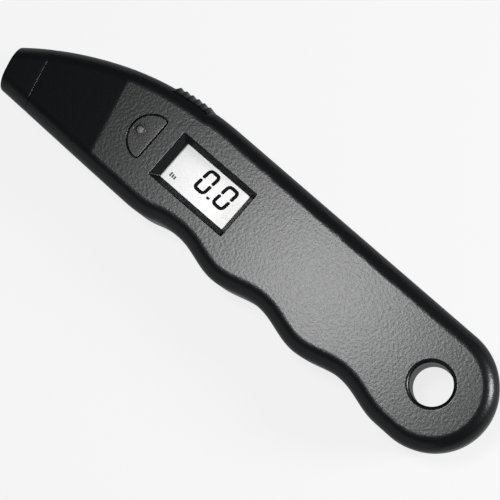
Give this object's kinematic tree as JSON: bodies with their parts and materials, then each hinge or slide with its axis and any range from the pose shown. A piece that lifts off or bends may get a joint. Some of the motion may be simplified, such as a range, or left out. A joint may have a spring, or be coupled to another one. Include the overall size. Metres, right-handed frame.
{
  "type": "tire gauge",
  "caption": "Handheld digital tire gauge with valve nozzle, LCD, light button, thumb slider that pushes out a tread probe, finger grooves and hanging hole.",
  "frame": {"origin": "middle of the footprint, on the back face that the gauge lies on", "axes": "+X towards the hanging hole, +Y towards the edge with the thumb slider, +Z out of the display"},
  "size_m": [0.1622, 0.0344, 0.02],
  "materials": {
    "casing_plastic": "black ABS with a fine spark-eroded grain",
    "nozzle_plastic": "black ABS, slightly smoother than the casing",
    "control_plastic": "black ABS, satin",
    "inner_plastic": "black moulded plastic",
    "white_plastic": "natural white moulded plastic",
    "clear_window": "clear acrylic",
    "display_glass": "reflective liquid crystal panel",
    "rubber_seal": "moulded rubber",
    "brass": "turned brass",
    "spring_steel": "rolled stainless strip",
    "cell_steel": "nickel-plated steel",
    "screw_steel": "zinc-plated steel",
    "board_laminate": "green solder mask over glass laminate",
    "lead_sleeve": "soft PVC sleeve"
  },
  "bodies": {
    "casing": {"front_shell": "casing_plastic", "back_shell": "casing_plastic", "nozzle_tip": "nozzle_plastic", "display_frame": "inner_plastic", "switch_body": "inner_plastic", "controller_chip": "inner_plastic", "probe_guide": "white_plastic", "light_guide": "white_plastic", "backlight_led": "white_plastic", "pressure_sensor": "white_plastic", "lcd_window": "clear_window", "lcd_glass": "display_glass", "chuck_seal": "rubber_seal", "air_tube": "rubber_seal", "zebra_strip_upper": "rubber_seal", "zebra_strip_lower": "rubber_seal", "chuck_body": "brass", "valve_pin": "brass", "slider_spring": "spring_steel", "contact_minus": "spring_steel", "contact_plus": "spring_steel", "coin_cell": "cell_steel", "case_screw_1": "screw_steel", "case_screw_2": "screw_steel", "case_screw_3": "screw_steel", "case_screw_4": "screw_steel", "case_screw_5": "screw_steel", "board_screw_1": "screw_steel", "board_screw_2": "screw_steel", "circuit_board": "board_laminate", "lead_plus": "lead_sleeve", "lead_minus": "lead_sleeve"},
    "light_button": {"light_button": "control_plastic"},
    "switch_plunger": {"switch_plunger": "white_plastic"},
    "tread_slider": {"tread_slider": "control_plastic"},
    "tread_probe": {"tread_probe": "spring_steel", "probe_carrier": "white_plastic"},
    "battery_cover": {"battery_cover": "casing_plastic"}
  },
  "joints": [
    {"name": "light_button_press", "type": "slide", "parent": "casing", "child": "light_button", "axis": [0, 0, -1], "range_m": [0, 0.0005], "stiffness_N_per_m": 500},
    {"name": "switch_plunger_press", "type": "slide", "parent": "casing", "child": "switch_plunger", "axis": [0, 0, -1], "range_m": [0, 0.0005]},
    {"name": "slider_push", "type": "hinge", "parent": "casing", "child": "tread_slider", "pos_m": [-0.02417, -0.06389, 0.01], "axis": [0, 0, 1], "range_deg": [0, 8.6]},
    {"name": "probe_slide", "type": "slide", "parent": "casing", "child": "tread_probe", "axis": [-0.9703, -0.2419, 0], "range_m": [0, 0.012]},
    {"name": "battery_cover_turn", "type": "hinge", "parent": "casing", "child": "battery_cover", "pos_m": [0.03039, 0.0001, 0], "axis": [0, 0, 1], "range_deg": [0, 50]}
  ],
  "couplings": [
    {"joint": "switch_plunger_press", "follows": "light_button_press", "ratio": 1},
    {"joint": "probe_slide", "follows": "slider_push", "m_per_rad": 0.0799}
  ]
}
